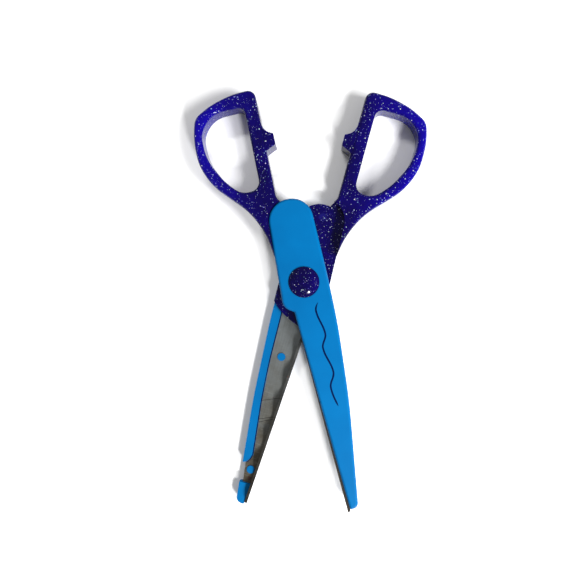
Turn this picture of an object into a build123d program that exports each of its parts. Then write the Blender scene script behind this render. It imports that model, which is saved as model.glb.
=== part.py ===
from build123d import *
from math import ceil
import os

# Wave-edge shears: two plastic-handled halves that turn on one rivet.
# Origin: on the rivet's axis, in the flat plane that the shears rest on. +Z is up,
# +Y runs from the rivet to the finger loops, and each half is turned half the opening.
# Each half is drawn closed, in its own frame: handle at -X +Y, blade along -Y, cutting
# edge on the -X side, w (the frame's Z) measured outwards from the plane where the
# halves meet. The lower half is the same drawing turned over about Y.

# --- driving dimensions, in millimetres and degrees ---------------------------------
OPENING = 27.0            # angle between the halves at rest
GRIP_HALF = 4.6           # half the thickness of a finger loop
MEETING_Z = GRIP_HALF     # height of the plane where the halves meet
SLIP = 0.03               # each tang and cutting rim stands this far off that plane
TANG_TOP = 1.9            # outer face of the tang, where steel and cover lie on it
STEEL = 0.7               # sheet thickness of the blades
COVER_TOP = 4.4           # outer face of the cover round the rivet
COVER_TIP = 3.5           # outer face of the cover at the tip
RIM_LOW = 1.1             # meeting-side face of the cover's back rim
GRIP_ROUND = 1.45         # rounding of the finger loop's edges
COVER_ROUND = 1.0         # rounding of the cover's outer edges
SKIN_THINS_Y = -14.0      # from here the cover thins evenly towards the tip
TIP_CAP_Y = -79.9         # near end of the moulded cap round the steel's tip
BACK_GAP_Y = -72.4        # far end of the back rim; the steel shows from here to the cap
RIM_ROOT = 0.3            # how far the rim, the tip cap and the pegs run into the skin

TIP_Y = -87.2             # tip of the steel, on its cutting edge
TIP_INNER_Y = -87.05      # the same, on the inner side of the cutting rim
EDGE_AT_PIVOT = -6.45     # the cutting line's X, run back to Y = 0
EDGE_SLOPE = 0.0605       # how fast the cutting line nears the axis, per mm of length
FLANGE = 1.0              # width of the turned-up cutting rim, seen from above
FLANGE_START = -22.0      # Y where the cutting rim starts

WAVE_LENGTH = 11.5        # one period of the cut, along the blade
WAVE_HEIGHT = 0.8         # half the height of the wave
WAVE_CREST = 24.0         # distance of one crest from the rivet

SHAFT_R = 2.0             # rivet
RUNNING = 0.05            # radial clearance of the halves on the rivet
HEAD_R = 4.2              # rivet's flat head, and the collar at its other end
HEAD_HOLE_R = 4.6         # hole in each cover round the head or the collar
CAP_R = 5.65              # dome cap and base cap
CAP_SEAT = 0.7            # depth of the caps' seats in the covers
DOME_RISE = 2.2           # height of the dome above the cover
WASHER_R = 4.5            # friction washer between the tangs
WASHER_SEAT = 0.17        # depth of its seat in each tang

END_X, END_R = -0.1, 8.0  # rounded end of the cover, by the handle
# centre of the rounded end, how far the back is drawn in, and the cap's tip
UPPER_COVER = {"end_y": 23.35, "back_in": 0.0, "tip_y": -86.2}
LOWER_COVER = {"end_y": 21.7, "back_in": 0.5, "tip_y": -87.9}
UPPER_TANG_GROW = -0.1    # how far each tang stands out round the cover
LOWER_TANG_GROW = 0.3
SEAM = 0.45               # open seam between the steel and the back rim
PEG_R = 1.5
PEG_GAP = 0.04
PEGS = [(0.9, -29.8), (0.8, -74.6)]        # pegs of the cover through the steel
TANG_PEG = (-0.2, 25.4)                    # peg of the cover in the tang's blind hole
TANG_PEG_DEEP = 1.1
TANG_PEG_LONG = 1.0
BEARING_GAP = 0.05        # between the upper steel and the spring washer
SPRING_THICK = 0.25
COLLAR_TALL = 1.0         # collar on the rivet's upper end
COLLAR_R = 3.9
BASE_BEVEL = 0.25

STEEL_TOP = TANG_TOP + STEEL
FAR = 12.0                # any height well clear of the parts
BEYOND_TIP = -100.0       # any Y well past the tip
ASIDE = 12.0              # any X well outside a cover

upper_place = Location((0, 0, MEETING_Z), (0, 0, OPENING / 2))
lower_place = Location((0, 0, MEETING_Z), (0, 0, -OPENING / 2)) * Location((0, 0, 0), (0, 180, 0))


def edge_x(y):
    """X of the cutting line at a given Y on the blade."""
    return EDGE_AT_PIVOT - EDGE_SLOPE * y


# --- outlines, in a half's own frame ------------------------------------------------

def rounded(corners):
    """Closed outline from (x, y, corner radius), with straight runs between the arcs."""
    with BuildSketch() as sketch:
        with BuildLine():
            FilletPolyline(*[(x, y) for x, y, _ in corners],
                           radius=[radius for _, _, radius in corners], close=True)
        make_face()
    return sketch.sketch


def cover_outline(end_y, back_in, tip_y, grow=0.0):
    """The cover from above: rounded end, shoulders and tapering blade."""
    top = end_y + END_R
    left = END_X - END_R
    right = END_X + END_R
    outline = rounded([
        (left, top, END_R - 0.1), (right, top, END_R - 0.1),
        (9.05, 0.0, 200), (9.2 - back_in, -18.0, 250), (7.6 - back_in, -47.0, 250),
        (2.95, tip_y, 2.2), (-0.2, tip_y, 0.35),
        (-5.75, -10.2, 0.4), (-9.5, -7.7, 4.2),
    ])
    if not grow:
        return outline
    with BuildSketch() as sketch:
        add(outline)
        offset(amount=grow)
    return sketch.sketch


def grip_outline():
    """The full-thickness part of the handle, without its finger hole."""
    return rounded([
        (-3.75, 73.85, 3.0), (-12.0, 73.75, 30), (-20.4, 71.8, 30), (-27.65, 68.1, 5.5),
        (-29.8, 61.3, 30), (-29.9, 51.1, 20), (-26.75, 42.35, 25), (-13.95, 28.85, 30),
        (-10.2, 19.5, 30), (-8.95, 11.5, 0), (-2.0, 11.5, 0), (-2.0, 30.2, 0),
        (-3.75, 33.0, 3.0),
    ])


def finger_hole():
    """D-shaped hole with its straight side towards the other handle."""
    return rounded([
        (-8.9, 36.9, 3.7), (-8.9, 68.3, 2.8), (-21.2, 68.1, 9.5), (-26.55, 62.1, 8.5),
        (-26.6, 52.5, 20), (-21.4, 42.1, 25), (-16.1, 36.9, 6),
    ])


def stop_lug():
    """The lug that meets its twin when the shears are shut."""
    with BuildSketch() as sketch:
        with BuildLine():
            hollow = ThreePointArc((-3.75, 61.6), (-3.0, 58.2), (-1.2, 56.6))
            Polyline(hollow @ 1, (-0.08, 56.1), (-0.08, 52.0), (-3.3, 50.5), (-3.75, 50.1),
                     (-5.5, 50.1), (-5.5, 61.6), (-3.75, 61.6))
        make_face()
    return sketch.sketch


def below_tang_end(gap=0.0):
    """Everything on the blade's side of the tang's slanting end, less a gap."""
    with BuildSketch() as sketch:
        with BuildLine():
            slant = ThreePointArc((ASIDE, -6.6 - gap), (1.4, -15.2 - gap), (-10.0, -17.6 - gap))
            Polyline(slant @ 1, (-10.0, BEYOND_TIP), (ASIDE, BEYOND_TIP), slant @ 0)
        make_face()
    return sketch.sketch


def back_rim(grow=0.0):
    """The back rim from above; its far side runs past the cover's outline."""
    outline = rounded([
        (5.6, -7.5, 0), (5.15, -32.0, 150), (4.1, -48.0, 100), (1.7, -69.2, 2.0),
        (3.9, BACK_GAP_Y + 0.1, 0), (ASIDE, BACK_GAP_Y + 0.1, 0), (ASIDE, -7.5, 0),
    ])
    if not grow:
        return outline
    with BuildSketch() as sketch:
        add(outline)
        offset(amount=grow)
    return sketch.sketch


def blade_web():
    """The flat of the blade, from its tail behind the rivet to the tip."""
    tail = 5.3
    with BuildSketch() as sketch:
        with BuildLine():
            Polyline((-tail, 2.5), (-tail, -20.0), (edge_x(FLANGE_START), FLANGE_START),
                     (edge_x(TIP_Y), TIP_Y), (edge_x(TIP_INNER_Y) + FLANGE, TIP_INNER_Y),
                     (edge_x(TIP_CAP_Y) + FLANGE, TIP_CAP_Y), (2.5, TIP_CAP_Y), (3.4, BACK_GAP_Y),
                     (7.5, -40.0), (7.5, -12.0), (tail, -5.0), (tail, 2.5))
            ThreePointArc((tail, 2.5), (0.0, 7.8), (-tail, 2.5))
        make_face()
        add(back_rim(grow=SEAM), mode=Mode.SUBTRACT)
    return sketch.sketch


def cutting_strip():
    """The turned-up rim from above."""
    with BuildSketch() as sketch:
        with BuildLine():
            Polyline((edge_x(FLANGE_START), FLANGE_START), (edge_x(TIP_Y), TIP_Y),
                     (edge_x(TIP_INNER_Y) + FLANGE, TIP_INNER_Y),
                     (edge_x(FLANGE_START) + FLANGE, FLANGE_START), close=True)
        make_face()
    return sketch.sketch


# --- mouldings and pressings, in a half's own frame ---------------------------------

def handle_moulding(cover, tang_grow):
    """Finger loop, stop lug and the thin tang that lies under the cover."""
    with BuildPart() as moulding:
        with BuildSketch(Plane.XY.offset(-GRIP_HALF)):
            add(grip_outline())
            add(finger_hole(), mode=Mode.SUBTRACT)
        extrude(amount=2 * GRIP_HALF)
        rims = moulding.faces().filter_by(Axis.Z).edges()
        fillet(rims, radius=GRIP_ROUND)

        lug_half = GRIP_HALF - 0.35
        with BuildSketch(Plane.XY.offset(-lug_half)):
            add(stop_lug())
        extrude(amount=2 * lug_half)

        # seat for this half's own cover, and room for the other half's when shut
        with BuildSketch(Plane.XY.offset(TANG_TOP)):
            add(cover_outline(grow=0.1, **cover))
        extrude(amount=FAR, mode=Mode.SUBTRACT)
        with BuildSketch(Plane.XY.offset(SLIP)):
            add(mirror(cover_outline(grow=LOWER_TANG_GROW + 0.3, **UPPER_COVER), about=Plane.YZ))
        extrude(amount=-FAR, mode=Mode.SUBTRACT)

        # tang
        with BuildSketch(Plane.XY.offset(SLIP)):
            add(cover_outline(grow=tang_grow, **LOWER_COVER))
            add(below_tang_end(), mode=Mode.SUBTRACT)
        extrude(amount=TANG_TOP - SLIP)
        with BuildSketch(Plane.XY.offset(SLIP)):
            Circle(WASHER_R + 0.1)
        extrude(amount=WASHER_SEAT, mode=Mode.SUBTRACT)
        with BuildSketch():
            Circle(SHAFT_R + RUNNING)
        extrude(amount=FAR, mode=Mode.SUBTRACT)
        with BuildSketch(Plane.XY.offset(TANG_TOP)):
            with Locations(TANG_PEG):
                Circle(PEG_R + PEG_GAP)
        extrude(amount=-TANG_PEG_DEEP, mode=Mode.SUBTRACT)
    return moulding.part


def cover_moulding(cover_shape, back_gap):
    """Light shell over the steel: skin, back rim, tip cap and pegs.

    back_gap cuts the skin back to the steel between the rim's end and the tip cap.
    """
    thinned = COVER_TOP - COVER_TIP
    run = SKIN_THINS_Y - TIP_Y
    ground_off_y = SKIN_THINS_Y - 1.25 * run
    cap_side = FLANGE + 0.05
    with BuildPart() as cover:
        with BuildSketch(Plane.XY.offset(TANG_TOP)):
            add(cover_outline(**cover_shape))
        extrude(amount=COVER_TOP - TANG_TOP)
        # the skin thins towards the tip
        with BuildSketch(Plane.YZ.offset(-ASIDE)):
            Polygon((SKIN_THINS_Y, COVER_TOP), (ground_off_y, COVER_TOP + 3.0),
                    (ground_off_y, COVER_TOP - 1.25 * thinned), align=None)
        extrude(amount=2 * ASIDE, mode=Mode.SUBTRACT)
        skin_top = cover.faces().filter_by(lambda f: f.normal_at().Z > 0.9)
        fillet(skin_top.edges().filter_by(lambda e: abs(e.center().Y - SKIN_THINS_Y) > 0.01),
               radius=COVER_ROUND)

        # back rim, down towards the other half
        with BuildSketch(Plane.XY.offset(RIM_LOW)):
            add(cover_outline(**cover_shape))
            add(back_rim(), mode=Mode.INTERSECT)
            add(below_tang_end(gap=0.25), mode=Mode.INTERSECT)
        extrude(amount=TANG_TOP + RIM_ROOT - RIM_LOW)
        # bed for the steel
        with BuildSketch(Plane.XY.offset(RIM_LOW - 1)):
            add(blade_web())
        extrude(amount=STEEL_TOP - RIM_LOW + 1, mode=Mode.SUBTRACT)

        # tip cap
        with BuildSketch(Plane.XY.offset(RIM_LOW)):
            add(cover_outline(**cover_shape))
            with BuildLine():
                Polyline((edge_x(TIP_CAP_Y) + cap_side, TIP_CAP_Y - 0.1),
                         (edge_x(BEYOND_TIP) + cap_side, BEYOND_TIP),
                         (ASIDE, BEYOND_TIP), (ASIDE, TIP_CAP_Y - 0.1), close=True)
            make_face(mode=Mode.INTERSECT)
        extrude(amount=TANG_TOP + RIM_ROOT - RIM_LOW)

        for peg in PEGS:
            with BuildSketch(Plane.XY.offset(STEEL_TOP + RIM_ROOT)):
                with Locations(peg):
                    Circle(PEG_R)
            extrude(amount=-(RIM_ROOT + STEEL + 0.3))
        with BuildSketch(Plane.XY.offset(TANG_TOP + RIM_ROOT)):
            with Locations(TANG_PEG):
                Circle(PEG_R)
        extrude(amount=-(RIM_ROOT + TANG_PEG_LONG))

        # hole for the rivet's head, and the cap's seat round it
        with BuildSketch(Plane.XY.offset(TANG_TOP - 0.5)):
            Circle(HEAD_HOLE_R)
        extrude(amount=FAR, mode=Mode.SUBTRACT)
        with BuildSketch(Plane.XY.offset(COVER_TOP - CAP_SEAT)):
            Circle(CAP_R + 0.1)
        extrude(amount=FAR, mode=Mode.SUBTRACT)

        if back_gap:
            with BuildSketch():
                with BuildLine():
                    Polyline((3.0, BACK_GAP_Y + 0.05), (2.0, TIP_CAP_Y + 0.05),
                             (ASIDE, TIP_CAP_Y + 0.05), (ASIDE, BACK_GAP_Y + 0.05), close=True)
                make_face()
            extrude(amount=FAR, mode=Mode.SUBTRACT)
    return cover.part


def wave_body(wave_sign):
    """Solid of revolution below the cut surface, whose height depends on radius alone.

    Because it turns about the rivet's axis, the two wavy rims stay in mesh at every angle.
    """
    half = WAVE_LENGTH / 2
    first = WAVE_CREST - half / 2 - half
    count = 2 * ceil((FLANGE - TIP_Y - first) / WAVE_LENGTH)
    with BuildPart() as body:
        with BuildSketch(Plane.XZ):
            with BuildLine():
                for k in range(count):
                    start = first + k * half
                    crest = wave_sign * WAVE_HEIGHT * (-1 if k % 2 == 0 else 1)
                    ThreePointArc((start, SLIP), (start + half / 2, SLIP + crest),
                                  (start + half, SLIP))
                last = first + count * half
                Polyline((last, SLIP), (last, -5), (first, -5), (first, SLIP))
            make_face()
        revolve(axis=Axis.Z)
    return body.part


def blade_pressing(wave_sign):
    """Steel blade: flat web, and a rim that ends in the wave."""
    with BuildPart() as blade:
        with BuildSketch(Plane.XY.offset(TANG_TOP)):
            add(blade_web())
        extrude(amount=STEEL)
        with BuildSketch(Plane.XY.offset(-2.0)):
            add(cutting_strip())
        extrude(amount=2.0 + STEEL_TOP)
        add(wave_body(wave_sign), mode=Mode.SUBTRACT)
        with BuildSketch():
            Circle(SHAFT_R + RUNNING)
            with Locations(*PEGS):
                Circle(PEG_R + PEG_GAP)
        extrude(amount=FAR, mode=Mode.SUBTRACT)
    return blade.part


# --- the halves ---------------------------------------------------------------------

os.makedirs("parts", exist_ok=True)

with BuildPart() as lower_handle:
    add(handle_moulding(LOWER_COVER, LOWER_TANG_GROW).moved(lower_place))
lower_handle.part.label = "lower_handle"
export_step(lower_handle.part, "parts/lower_handle.step")

with BuildPart() as upper_handle:
    add(handle_moulding(UPPER_COVER, UPPER_TANG_GROW).moved(upper_place))
upper_handle.part.label = "upper_handle"
export_step(upper_handle.part, "parts/upper_handle.step")

with BuildPart() as lower_cover:
    add(cover_moulding(LOWER_COVER, back_gap=True).moved(lower_place))
lower_cover.part.label = "lower_cover"
export_step(lower_cover.part, "parts/lower_cover.step")

with BuildPart() as upper_cover:
    add(cover_moulding(UPPER_COVER, back_gap=False).moved(upper_place))
upper_cover.part.label = "upper_cover"
export_step(upper_cover.part, "parts/upper_cover.step")

with BuildPart() as lower_blade:
    add(blade_pressing(wave_sign=-1).moved(lower_place))
lower_blade.part.label = "lower_blade"
export_step(lower_blade.part, "parts/lower_blade.step")

with BuildPart() as upper_blade:
    add(blade_pressing(wave_sign=1).moved(upper_place))
upper_blade.part.label = "upper_blade"
export_step(upper_blade.part, "parts/upper_blade.step")

# --- the pivot, from the bottom up --------------------------------------------------

steel_low = MEETING_Z - STEEL_TOP         # outer face of the lower steel
steel_high = MEETING_Z + STEEL_TOP        # outer face of the upper steel
cover_low = MEETING_Z - COVER_TOP
cover_high = MEETING_Z + COVER_TOP
cap_seat_low = cover_low + CAP_SEAT
cap_seat_high = cover_high - CAP_SEAT

with BuildPart() as base_cap:
    with BuildSketch():
        Circle(CAP_R)
    extrude(amount=cap_seat_low)
    rim = base_cap.faces().sort_by(Axis.Z)[0].edges()
    chamfer(rim, length=BASE_BEVEL)
base_cap.part.label = "base_cap"
export_step(base_cap.part, "parts/base_cap.step")

spring_low = steel_high + BEARING_GAP
collar_low = spring_low + SPRING_THICK
collar_high = collar_low + COLLAR_TALL

with BuildPart() as pivot_rivet:
    with BuildSketch(Plane.XY.offset(cap_seat_low)):
        Circle(HEAD_R)
    extrude(amount=steel_low - cap_seat_low)
    with BuildSketch(Plane.XY.offset(steel_low)):
        Circle(SHAFT_R)
    extrude(amount=collar_high - steel_low)
pivot_rivet.part.label = "pivot_rivet"
export_step(pivot_rivet.part, "parts/pivot_rivet.step")

with BuildPart() as friction_washer:
    with BuildSketch(Plane.XY.offset(MEETING_Z - SLIP - WASHER_SEAT)):
        Circle(WASHER_R)
        Circle(SHAFT_R + RUNNING, mode=Mode.SUBTRACT)
    extrude(amount=2 * (SLIP + WASHER_SEAT) - 0.02)
friction_washer.part.label = "friction_washer"
export_step(friction_washer.part, "parts/friction_washer.step")

with BuildPart() as spring_washer:
    with BuildSketch(Plane.XY.offset(spring_low)):
        Circle(HEAD_R)
        Circle(SHAFT_R + RUNNING, mode=Mode.SUBTRACT)
    extrude(amount=SPRING_THICK)
spring_washer.part.label = "spring_washer"
export_step(spring_washer.part, "parts/spring_washer.step")

with BuildPart() as rivet_collar:
    with BuildSketch(Plane.XY.offset(collar_low)):
        Circle(COLLAR_R)
        Circle(SHAFT_R, mode=Mode.SUBTRACT)
    extrude(amount=collar_high - collar_low)
rivet_collar.part.label = "rivet_collar"
export_step(rivet_collar.part, "parts/rivet_collar.step")

# domed shell with a rim in the cover's seat and a hollow over the collar
dome_top = cover_high + DOME_RISE
hollow_top = collar_high + 0.4
with BuildPart() as dome_cap:
    with BuildSketch(Plane.XZ):
        with BuildLine():
            crown = ThreePointArc((0, dome_top), (CAP_R * 0.62, dome_top - 0.62),
                                  (CAP_R, cover_high + 0.25))
            Polyline(crown @ 1, (CAP_R, cap_seat_high), (HEAD_HOLE_R, cap_seat_high),
                     (HEAD_HOLE_R, hollow_top), (0, hollow_top), crown @ 0)
        make_face()
    revolve(axis=Axis.Z)
dome_cap.part.label = "dome_cap"
export_step(dome_cap.part, "parts/dome_cap.step")
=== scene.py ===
from math import cos, pi, radians, sin

import bmesh
import bpy
from mathutils import Matrix, Vector


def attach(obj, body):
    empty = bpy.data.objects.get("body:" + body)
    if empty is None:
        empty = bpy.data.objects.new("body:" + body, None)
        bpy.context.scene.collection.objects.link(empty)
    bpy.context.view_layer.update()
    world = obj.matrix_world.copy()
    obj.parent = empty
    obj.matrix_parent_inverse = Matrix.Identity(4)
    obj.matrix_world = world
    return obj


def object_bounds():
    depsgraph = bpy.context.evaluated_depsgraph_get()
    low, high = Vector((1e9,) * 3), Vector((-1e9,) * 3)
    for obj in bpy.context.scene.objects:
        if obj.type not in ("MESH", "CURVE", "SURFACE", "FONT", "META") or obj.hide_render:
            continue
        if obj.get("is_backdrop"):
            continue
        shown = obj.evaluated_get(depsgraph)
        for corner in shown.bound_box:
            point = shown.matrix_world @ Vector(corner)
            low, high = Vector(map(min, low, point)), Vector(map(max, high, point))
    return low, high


# Wave-edge shears lying open on a pale table. Metres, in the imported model's own frame:
# origin on the rivet's axis at table height, +Y towards the finger loops, +Z up.

# Lengths are in millimetres. A half's own drawing is the half closed, with the blade along
# -Y, the cutting edge on the -X side and Z measured outwards from where the halves meet.
MM = 0.001
HALF_OPENING = radians(13.5)
MEETING_Z = 4.6           # height of the plane where the halves meet
TANG_TOP = 1.9            # outer face of a tang, where steel and cover lie on it
COVER_TOP = 4.4           # outer face of a cover round the rivet
SKIN_THINS_Y = -14.0      # from here the cover thins evenly
SKIN_RUN = 73.2           # over this length
SKIN_DROP = 0.9           # by this much
EDGE_AT_PIVOT = 6.45      # the cutting line's distance from the axis, run back to Y = 0
EDGE_SLOPE = 0.0605       # how fast the cutting line nears the axis, per mm of length
RIM_WIDTH = 1.02          # turned-up cutting rim, seen from above
TANG_PEG = (6.12, 24.65, 4.57)      # peg of the lower cover, inside the lower tang
TANG_PEG_R = 1.45
RUST_AT = (0.3, -78.0, 1.9)         # the larger rust spot, on a half's own drawing
# dark lines across each blade: slope, Y where X = 0, and how dark
DARK_CROSS_LINES = ((-0.433, -46.28, 0.75), (-0.449, -53.75, 0.85), (-0.5, -54.85, 0.85))

EYE = (7.77, -0.09, 225.0)          # where the camera stands
AIM_ASIDE = (13.44, 2.69)           # how far aside of straight down it aims, at table height
CAMERA_TURN = 0.0335255             # turn of the view about Z, in radians
VIEW_ANGLE = radians(52.66)
LAMP_DISTANCE = 0.50                # in metres

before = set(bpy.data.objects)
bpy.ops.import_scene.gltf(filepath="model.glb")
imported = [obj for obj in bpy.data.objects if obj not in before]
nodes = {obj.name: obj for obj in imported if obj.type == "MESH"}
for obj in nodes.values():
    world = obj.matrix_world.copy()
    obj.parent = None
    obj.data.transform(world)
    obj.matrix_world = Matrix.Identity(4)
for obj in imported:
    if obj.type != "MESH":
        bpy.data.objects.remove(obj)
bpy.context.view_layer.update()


def size():
    """The box round everything that is part of the object, as plain lists."""
    return [list(map(float, corner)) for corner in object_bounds()]


def place(half):
    """From a half's own drawing, in millimetres, to its place in the model, in metres."""
    turn = Matrix.Rotation(HALF_OPENING if half == "upper" else -HALF_OPENING, 4, "Z")
    lift = Matrix.Translation((0, 0, MEETING_Z))
    over = Matrix.Rotation(pi, 4, "Y") if half == "lower" else Matrix.Identity(4)
    return Matrix.Scale(MM, 4) @ lift @ turn @ over


# --- materials ----------------------------------------------------------------------

class Shader:
    """A material with a Principled shader and short ways to add nodes to it."""

    def __init__(self, name):
        self.material = bpy.data.materials.new(name)
        self.material.use_nodes = True
        self.tree = self.material.node_tree
        self.tree.nodes.clear()
        self.out = self.tree.nodes.new("ShaderNodeOutputMaterial")
        self.bsdf = self.tree.nodes.new("ShaderNodeBsdfPrincipled")
        self.join(self.bsdf.outputs[0], self.out.inputs["Surface"])

    def join(self, a, b):
        self.tree.links.new(a, b)

    def node(self, kind, inputs=None, **settings):
        made = self.tree.nodes.new(kind)
        for key, value in settings.items():
            setattr(made, key, value)
        for key, value in (inputs or {}).items():
            if isinstance(value, bpy.types.NodeSocket):
                self.join(value, made.inputs[key])
            else:
                made.inputs[key].default_value = value
        return made

    def place(self, half=None):
        """Position in the model, or in a half's own drawing, in millimetres."""
        coords = self.node("ShaderNodeTexCoord").outputs["Object"]
        moved = self.node("ShaderNodeVectorMath", {0: coords, 3: 1000.0},
                          operation="SCALE").outputs[0]
        if half is None:
            return moved
        angle = -HALF_OPENING if half == "upper" else HALF_OPENING
        turned = self.node("ShaderNodeVectorRotate",
                           {"Vector": moved, "Angle": angle, "Axis": (0, 0, 1)},
                           rotation_type="AXIS_ANGLE").outputs[0]
        if half == "upper":
            return self.node("ShaderNodeVectorMath", {0: turned, 1: (0, 0, -MEETING_Z)},
                             operation="ADD").outputs[0]
        flipped = self.node("ShaderNodeVectorMath", {0: turned, 1: (-1, 1, -1)},
                            operation="MULTIPLY").outputs[0]
        return self.node("ShaderNodeVectorMath", {0: flipped, 1: (0, 0, MEETING_Z)},
                         operation="ADD").outputs[0]

    def math(self, operation, *values):
        return self.node("ShaderNodeMath", dict(enumerate(values)), operation=operation).outputs[0]

    def noise(self, vector, scale, detail=2.0, rough=0.5, stretch=None):
        if stretch is not None:
            vector = self.node("ShaderNodeVectorMath", {0: vector, 1: stretch},
                               operation="MULTIPLY").outputs[0]
        return self.node("ShaderNodeTexNoise", {"Vector": vector, "Scale": scale,
                                                "Detail": detail, "Roughness": rough}).outputs

    def ramp(self, factor, stops):
        made = self.node("ShaderNodeValToRGB", {"Fac": factor})
        while len(made.color_ramp.elements) < len(stops):
            made.color_ramp.elements.new(0.5)
        for element, (at, colour) in zip(made.color_ramp.elements, stops):
            element.position = at
            element.color = (*colour, 1.0)
        return made.outputs["Color"]

    def band(self, value, low, high, soft):
        """1 between low and high, 0 outside, with soft edges."""
        up = self.node("ShaderNodeMapRange", {"Value": value, "From Min": low - soft,
                                              "From Max": low + soft}).outputs[0]
        down = self.node("ShaderNodeMapRange", {"Value": value, "From Min": high + soft,
                                                "From Max": high - soft}).outputs[0]
        return self.math("MULTIPLY", up, down)

    def mix(self, factor, a, b, blend="MIX"):
        made = self.tree.nodes.new("ShaderNodeMix")
        made.data_type = "RGBA"
        made.blend_type = blend
        for index, value in ((0, factor), (6, a), (7, b)):
            if isinstance(value, bpy.types.NodeSocket):
                self.join(value, made.inputs[index])
            elif index == 0:
                made.inputs[index].default_value = value
            else:
                made.inputs[index].default_value = (*value, 1.0)
        return made.outputs[2]

    def bump(self, height, strength, distance):
        return self.node("ShaderNodeBump", {"Height": height, "Strength": strength,
                                            "Distance": distance * MM}).outputs[0]

    def set(self, **values):
        for key, value in values.items():
            socket = self.bsdf.inputs[key.replace("_", " ")]
            if isinstance(value, bpy.types.NodeSocket):
                self.join(value, socket)
            else:
                socket.default_value = (*value, 1.0) if isinstance(value, tuple) else value
        return self.material


def srgb(r, g, b):
    """A colour as it looks, 0 to 255, to the linear values a shader takes."""
    def linear(v):
        v /= 255.0
        return v / 12.92 if v <= 0.04045 else ((v + 0.055) / 1.055) ** 2.4
    return tuple(linear(v) for v in (r, g, b))


def glitter_plastic(name):
    """Dark blue plastic, a little clear, full of small metal flakes."""
    s = Shader(name)
    at = s.place()
    # the thin outer arcs of the loops let more light through than the arms and the tangs
    aside = s.math("ABSOLUTE", s.node("ShaderNodeSeparateXYZ", {0: at}).outputs["X"])
    thin = s.node("ShaderNodeMapRange", {"Value": aside, "From Min": 16.0, "From Max": 42.0,
                                         "To Max": 0.6}).outputs[0]
    cloud = s.math("ADD", thin, s.math("MULTIPLY", s.noise(at, 0.12, 3.0)["Fac"], 0.5))
    base = s.ramp(cloud, [(0.12, srgb(4, 0, 46)), (0.4, srgb(7, 0, 78)), (0.9, srgb(9, 0, 122))])
    flakes = []
    for scale, shift, size in ((0.72, 3.0, 0.13), (1.05, 17.0, 0.13), (1.8, 41.0, 0.12)):
        moved = s.node("ShaderNodeVectorMath", {0: at, 1: (shift, shift * 0.7, shift * 1.3)},
                       operation="ADD").outputs[0]
        cells = s.node("ShaderNodeTexVoronoi", {"Vector": moved, "Scale": scale,
                                                "Randomness": 1.0}, feature="F1").outputs
        spot = s.node("ShaderNodeMapRange", {"Value": cells["Distance"], "From Min": size + 0.04,
                                             "From Max": size}).outputs[0]
        shine = s.node("ShaderNodeSeparateColor", {0: cells["Color"]}).outputs
        lit = s.node("ShaderNodeMapRange", {"Value": shine[0], "From Min": 0.42,
                                            "From Max": 0.98}).outputs[0]
        flakes.append((s.math("MULTIPLY", spot, lit), shine[1]))
    # the peg of the cover shows faintly through the lower tang
    peg = s.node("ShaderNodeVectorMath", {0: at, 1: TANG_PEG},
                 operation="DISTANCE").outputs["Value"]
    colour = s.mix(s.math("MULTIPLY", s.band(peg, -1.0, TANG_PEG_R, 0.3), 0.16), base,
                   srgb(40, 44, 138))
    flake_sum = None
    for spot, hue in flakes:
        tint = s.ramp(hue, [(0.0, srgb(120, 120, 235)), (0.35, srgb(190, 200, 235)),
                            (0.7, srgb(235, 238, 245)), (1.0, srgb(150, 190, 240))])
        colour = s.mix(spot, colour, tint)
        flake_sum = spot if flake_sum is None else s.math("MAXIMUM", flake_sum, spot)
    fine = s.noise(at, 2.2, 2.0)["Fac"]
    rough = s.node("ShaderNodeMapRange", {"Value": fine, "To Min": 0.08,
                                          "To Max": 0.16}).outputs[0]
    s.set(Base_Color=colour, Roughness=rough, Metallic=s.math("MULTIPLY", flake_sum, 0.55),
          Specular_IOR_Level=0.2, IOR=1.49,
          Subsurface_Weight=0.3, Subsurface_Scale=1.0 * MM,
          Normal=s.bump(s.noise(at, 0.35, 3.0)["Fac"], 0.25, 0.12))
    s.bsdf.inputs["Subsurface Radius"].default_value = (0.3, 0.15, 1.8)
    return s.material


def cover_plastic(name):
    """Satin light blue plastic with a fine moulded grain."""
    s = Shader(name)
    at = s.place()
    cloud = s.noise(at, 0.06, 4.0)["Fac"]
    grain = s.noise(at, 3.5, 3.0, 0.6)["Fac"]
    base = s.ramp(cloud, [(0.3, srgb(0, 82, 134)), (0.7, srgb(0, 90, 144))])
    specks = s.node("ShaderNodeMapRange", {"Value": s.noise(at, 1.4, 5.0, 0.7)["Fac"],
                                           "From Min": 0.62, "From Max": 0.75,
                                           "To Max": 0.25}).outputs[0]
    base = s.mix(specks, base, srgb(6, 98, 150))
    rough = s.node("ShaderNodeMapRange", {"Value": grain, "To Min": 0.38,
                                          "To Max": 0.52}).outputs[0]
    return s.set(Base_Color=base, Roughness=rough, Specular_IOR_Level=0.1,
                 Normal=s.bump(grain, 0.18, 0.05))


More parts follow.
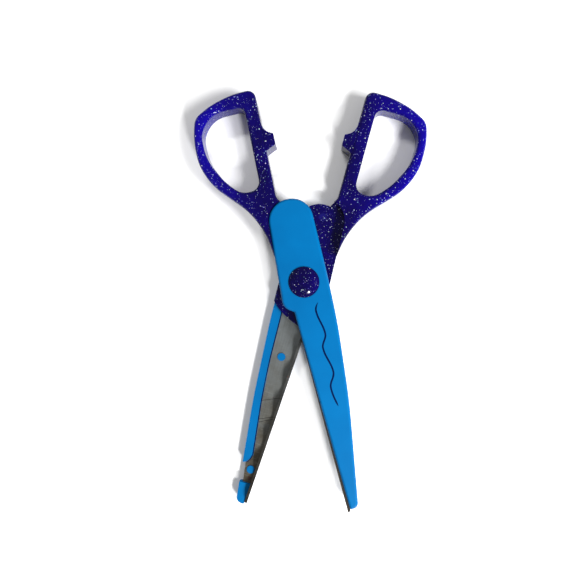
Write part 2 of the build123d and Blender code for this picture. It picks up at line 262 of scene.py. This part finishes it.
def blade_steel(name, half):
    """Stamped steel: brushed along the blade, worn brown and spotted towards the tip."""
    s = Shader(name)
    at = s.place(half)
    parts = s.node("ShaderNodeSeparateXYZ", {0: at}).outputs
    along = s.node("ShaderNodeMapRange", {"Value": parts["Y"], "From Min": -10.0,
                                          "From Max": -86.0}).outputs[0]
    brushed = s.noise(at, 1.0, 4.0, 0.6, stretch=(3.2, 0.10, 3.2))["Fac"]
    blotch = s.noise(at, 0.22, 5.0, 0.65)["Fac"]
    wear = s.math("ADD", along, s.math("MULTIPLY", s.math("SUBTRACT", blotch, 0.5), 0.9))
    colour = s.ramp(wear, [(0.05, srgb(118, 123, 124)), (0.45, srgb(104, 106, 103)),
                           (0.75, srgb(88, 84, 74)), (1.0, srgb(74, 66, 54))])
    streak = s.node("ShaderNodeMapRange", {"Value": brushed, "From Min": 0.35, "From Max": 0.65,
                                           "To Min": 0.9, "To Max": 1.08}).outputs[0]
    colour = s.mix(1.0, colour, s.node("ShaderNodeCombineColor",
                                       {0: streak, 1: streak, 2: streak}).outputs[0], "MULTIPLY")
    # fine cross scratches left by cutting, mostly near the tip
    cross = s.noise(at, 1.0, 2.0, 0.5, stretch=(0.12, 2.6, 0.2))["Fac"]
    scratch = s.math("MULTIPLY", s.band(cross, 0.64, 0.68, 0.012), along)
    colour = s.mix(s.math("MULTIPLY", scratch, 0.3), colour, srgb(170, 168, 160))
    # three dark lines across the blade, and painted shade along the cutting rim
    for slope, start, depth in DARK_CROSS_LINES:
        off = s.math("SUBTRACT", s.math("SUBTRACT", parts["Y"], start),
                     s.math("MULTIPLY", parts["X"], slope))
        line = s.band(off, -0.12, 0.12, 0.06)
        colour = s.mix(s.math("MULTIPLY", line, depth), colour, srgb(34, 32, 30))
    from_edge = s.math("ADD", s.math("ADD", parts["X"], EDGE_AT_PIVOT),
                       s.math("MULTIPLY", parts["Y"], EDGE_SLOPE))
    # painted shade: a dark band along the turned-up cutting rim, for the dark it reflects and the
    # shade beside it
    rim = s.band(from_edge, -1.0, RIM_WIDTH, 0.06)
    colour = s.mix(s.math("MULTIPLY", rim, 0.72), colour, srgb(36, 34, 32))
    # small rust spots, and one larger one near the tip
    spots = s.node("ShaderNodeTexVoronoi", {"Vector": at, "Scale": 0.33}, feature="F1").outputs
    few = s.math("GREATER_THAN",
                 s.node("ShaderNodeSeparateColor", {0: spots["Color"]}).outputs[0], 0.86)
    spot = s.math("MULTIPLY", s.band(spots["Distance"], -1.0, 0.12, 0.05), few)
    near = s.node("ShaderNodeVectorMath", {0: at, 1: RUST_AT},
                  operation="DISTANCE").outputs["Value"]
    near = s.math("ADD", near, s.math("MULTIPLY", s.noise(at, 1.6, 2.0)["Fac"], 0.9))
    spot = s.math("MAXIMUM", spot, s.band(near, -1.0, 1.25, 0.16))
    colour = s.mix(s.math("MULTIPLY", spot, 0.9), colour, srgb(58, 36, 30))
    rough = s.math("ADD", s.node("ShaderNodeMapRange", {"Value": brushed, "To Min": 0.30,
                                                       "To Max": 0.46}).outputs[0],
                   s.math("MULTIPLY", spot, 0.4))
    height = s.math("SUBTRACT", brushed, s.math("MULTIPLY", scratch, 0.6))
    return s.set(Base_Color=colour, Metallic=s.math("SUBTRACT", 0.6,
                                                   s.math("MULTIPLY", spot, 0.5)),
                 Roughness=rough, Normal=s.bump(height, 0.22, 0.02))


def turned_steel(name):
    """Rivet steel with fine rings from turning."""
    s = Shader(name)
    at = s.place()
    radius = s.node("ShaderNodeVectorMath", {0: s.node(
        "ShaderNodeVectorMath", {0: at, 1: (1, 1, 0)}, operation="MULTIPLY").outputs[0]},
        operation="LENGTH").outputs["Value"]
    rings = s.noise(s.node("ShaderNodeCombineXYZ", {0: radius}).outputs[0], 6.0, 3.0)["Fac"]
    colour = s.ramp(rings, [(0.3, srgb(140, 142, 146)), (0.7, srgb(188, 190, 194))])
    rough = s.node("ShaderNodeMapRange", {"Value": rings, "To Min": 0.22, "To Max": 0.4}).outputs[0]
    return s.set(Base_Color=colour, Metallic=0.95, Roughness=rough,
                 Normal=s.bump(rings, 0.2, 0.02))


def washer_plastic(name):
    """Milky nylon."""
    s = Shader(name)
    at = s.place()
    cloud = s.noise(at, 0.5, 4.0)["Fac"]
    colour = s.ramp(cloud, [(0.3, srgb(206, 202, 190)), (0.7, srgb(226, 223, 214))])
    rough = s.node("ShaderNodeMapRange", {"Value": s.noise(at, 3.0)["Fac"], "To Min": 0.4,
                                          "To Max": 0.58}).outputs[0]
    return s.set(Base_Color=colour, Roughness=rough, Normal=s.bump(cloud, 0.1, 0.03))


def print_ink(name):
    """Dark blue ink of the printed wave, a little uneven; the painted shadow in the seam is as dark.
    """
    s = Shader(name)
    at = s.place()
    cloud = s.noise(at, 1.5, 3.0)["Fac"]
    colour = s.ramp(cloud, [(0.3, srgb(0, 8, 44)), (0.7, srgb(0, 16, 62))])
    rough = s.node("ShaderNodeMapRange", {"Value": cloud, "To Min": 0.4, "To Max": 0.6}).outputs[0]
    return s.set(Base_Color=colour, Roughness=rough, Specular_IOR_Level=0.08,
                 Normal=s.bump(cloud, 0.1, 0.02))


def dress(name, material):
    """Gives a CAD piece its material, and shading that keeps its flat faces flat."""
    mesh = nodes[name].data
    mesh.materials.clear()
    mesh.materials.append(material)
    for face in mesh.polygons:
        face.use_smooth = True
    weighted = nodes[name].modifiers.new("edge_normals", "WEIGHTED_NORMAL")
    weighted.keep_sharp = True
    weighted.weight = 80


handle_finish = glitter_plastic("handle_plastic")
cover_finish = cover_plastic("cover_plastic")
dress("upper_handle", handle_finish)
dress("lower_handle", handle_finish)
dress("dome_cap", handle_finish)
dress("base_cap", handle_finish)
dress("upper_cover", cover_finish)
dress("lower_cover", cover_finish)
dress("upper_blade", blade_steel("blade_steel_upper", "upper"))
dress("lower_blade", blade_steel("blade_steel_lower", "lower"))
rivet_finish = turned_steel("rivet_steel")
for name in ("pivot_rivet", "rivet_collar", "spring_washer"):
    dress(name, rivet_finish)
dress("friction_washer", washer_plastic("washer_plastic"))


# --- thin pieces that lie on the covers ------------------------------------------------

def strip(name, rows, half, material):
    """An open strip through rows of points of a half's own drawing."""
    bm = bmesh.new()
    rows = [[bm.verts.new(point) for point in row] for row in rows]
    for a, b in zip(rows, rows[1:]):
        for k in range(len(a) - 1):
            bm.faces.new((a[k], a[k + 1], b[k + 1], b[k]))
    mesh = bpy.data.meshes.new(name)
    bm.to_mesh(mesh)
    bm.free()
    mesh.transform(place(half))
    for face in mesh.polygons:
        face.use_smooth = True
    made = bpy.data.objects.new(name, mesh)
    bpy.context.scene.collection.objects.link(made)
    made.data.materials.append(material)
    return made


def skin_height(y):
    """Outer face of a cover, above the meeting plane, at a given Y of its half."""
    return COVER_TOP - max(0.0, SKIN_THINS_Y - y) * SKIN_DROP / SKIN_RUN


def printed_wave():
    """A thin ribbon of ink with tapered ends that follows a wavy line down the blade."""
    bends = [(2.23, -11.2), (3.89, -20.3), (2.01, -25.1), (3.99, -34.7), (1.92, -40.05)]
    start, end = (3.59, -8.3), (3.27, -47.45)
    steps = 160
    lift = 0.012              # how far the ink stands off the cover
    widest, narrowest = 0.32, 0.012

    def middle(y):
        """X of the line: it eases from each bend to the next."""
        if y > bends[0][1]:
            t = (start[1] - y) / (start[1] - bends[0][1])
            return start[0] + (bends[0][0] - start[0]) * sin(pi / 2 * t)
        for (x0, y0), (x1, y1) in zip(bends, bends[1:]):
            if y >= y1:
                return x0 + (x1 - x0) * (1 - cos(pi * (y0 - y) / (y0 - y1))) / 2
        t = (bends[-1][1] - y) / (bends[-1][1] - end[1])
        return bends[-1][0] + (end[0] - bends[-1][0]) * (1 - cos(pi / 2 * t))

    def half_width(t):
        """Half the line's width, where t runs from 0 at its start to 1 at its end."""
        return widest * min(1.0, (t / 0.05) ** 0.6, ((1 - t) / 0.04) ** 0.6) + narrowest

    line = []
    for i in range(steps + 1):
        y = start[1] + (end[1] - start[1]) * i / steps
        line.append(Vector((middle(y), y, 0)))
    rows = []
    for i, point in enumerate(line):
        ahead = line[min(i + 1, steps)] - line[max(i - 1, 0)]
        side = Vector((-ahead.y, ahead.x, 0)).normalized() * half_width(i / steps)
        z = skin_height(point.y) + lift
        rows.append([(*(point + side * across).xy, z + drop)
                     for across, drop in ((1, -lift * 0.8), (0.7, 0), (-0.7, 0), (-1, -lift * 0.8))])
    ribbon = strip("printed_wave", rows, "upper", print_ink("print_ink"))
    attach(ribbon, "upper_half")


def seam_painted_shadow():
    """A hair of painted shadow along the seam between the lower blade and its cover's back rim,
    where the gap is in shade.
    """
    seam = [(5.3, -12.0), (4.92, -32.0), (4.5, -40.5), (3.8, -48.5), (2.7, -58.5), (1.62, -68.2),
            (1.9, -70.6), (2.9, -72.3)]
    level = TANG_TOP - 0.014  # just off the cover's skin, on the side where the halves meet
    sag = 0.012               # the strip's edges lie this much closer to the skin
    steps = 12
    rows = []
    for (x0, y0), (x1, y1) in zip(seam, seam[1:]):
        for i in range(steps):
            t = i / steps
            x, y = x0 + (x1 - x0) * t, y0 + (y1 - y0) * t
            wide = 0.21 + 0.03 * sin(y * 1.7) + 0.02 * sin(y * 5.3)
            rows.append([(x - wide, y, level + sag), (x, y, level), (x + wide, y, level + sag)])
    # painted shadow: a dark strip laid where the gap beside the rim is in shade
    ribbon = strip("seam_painted_shadow", rows, "lower", print_ink("seam_shadow_paint"))
    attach(ribbon, "lower_half")


printed_wave()
# a strip of painted shadow along the lower blade's seam
seam_painted_shadow()


# --- table, light and camera ----------------------------------------------------------

def table_finish():
    """Pale board, very slightly cloudy."""
    s = Shader("pale_table")
    at = s.place()
    cloud = s.noise(at, 0.01, 3.0)["Fac"]
    colour = s.ramp(cloud, [(0.3, (0.86, 0.86, 0.86)), (0.7, (0.88, 0.88, 0.88))])
    return s.set(Base_Color=colour, Roughness=0.85, Specular_IOR_Level=0.1)


def table():
    """A wide board, a hair below the plane that the shears rest on."""
    bm = bmesh.new()
    bmesh.ops.create_grid(bm, x_segments=8, y_segments=8, size=1.2)
    mesh = bpy.data.meshes.new("table")
    bm.to_mesh(mesh)
    bm.free()
    floor = bpy.data.objects.new("table", mesh)
    bpy.context.scene.collection.objects.link(floor)
    floor.location.z = -0.00002
    floor.data.materials.append(table_finish())
    floor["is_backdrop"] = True


def soft_light(name, azimuth, elevation, width, height, power, mirrored):
    """A soft box that looks at the rivet; azimuth 0 is +X and 90 is +Y.

    One that isn't mirrored lights the surfaces, but leaves no highlight in their gloss.
    """
    data = bpy.data.lights.new(name, "AREA")
    data.shape = "RECTANGLE"
    data.size = width
    data.size_y = height
    data.energy = power
    lamp = bpy.data.objects.new(name, data)
    bpy.context.scene.collection.objects.link(lamp)
    a, e = radians(azimuth), radians(elevation)
    lamp.location = Vector((cos(a) * cos(e), sin(a) * cos(e), sin(e))) * LAMP_DISTANCE
    lamp.rotation_euler = (-lamp.location).to_track_quat("-Z", "Y").to_euler()
    lamp.visible_glossy = mirrored


table()
soft_light("key", -14, 43, 0.20, 0.20, 4.0, mirrored=False)
soft_light("glint", -63, 35, 0.07, 0.07, 2.4, mirrored=True)
soft_light("back", 112, 40, 0.14, 0.05, 0.9, mirrored=False)

world = bpy.data.worlds.new("studio")
bpy.context.scene.world = world
world.use_nodes = True
world.node_tree.nodes["Background"].inputs["Color"].default_value = (1, 1, 1, 1)
world.node_tree.nodes["Background"].inputs["Strength"].default_value = 0.3

camera_data = bpy.data.cameras.new("camera")
camera_data.sensor_fit = "HORIZONTAL"
camera_data.sensor_width = 36.0
camera_data.angle = VIEW_ANGLE
camera_data.clip_start = 0.01
camera_data.clip_end = 10.0
camera = bpy.data.objects.new("camera", camera_data)
bpy.context.scene.collection.objects.link(camera)
straight_down = Vector((0, 0, -1))
to_object = Vector((*AIM_ASIDE, -EYE[2])).normalized()
tilt = to_object.rotation_difference(straight_down).to_matrix().to_4x4()
camera.matrix_world = (Matrix.Translation(Vector(EYE) * MM)
                       @ Matrix.Rotation(CAMERA_TURN, 4, "Z") @ tilt)
bpy.context.scene.camera = camera
bpy.context.scene.view_settings.view_transform = "Standard"
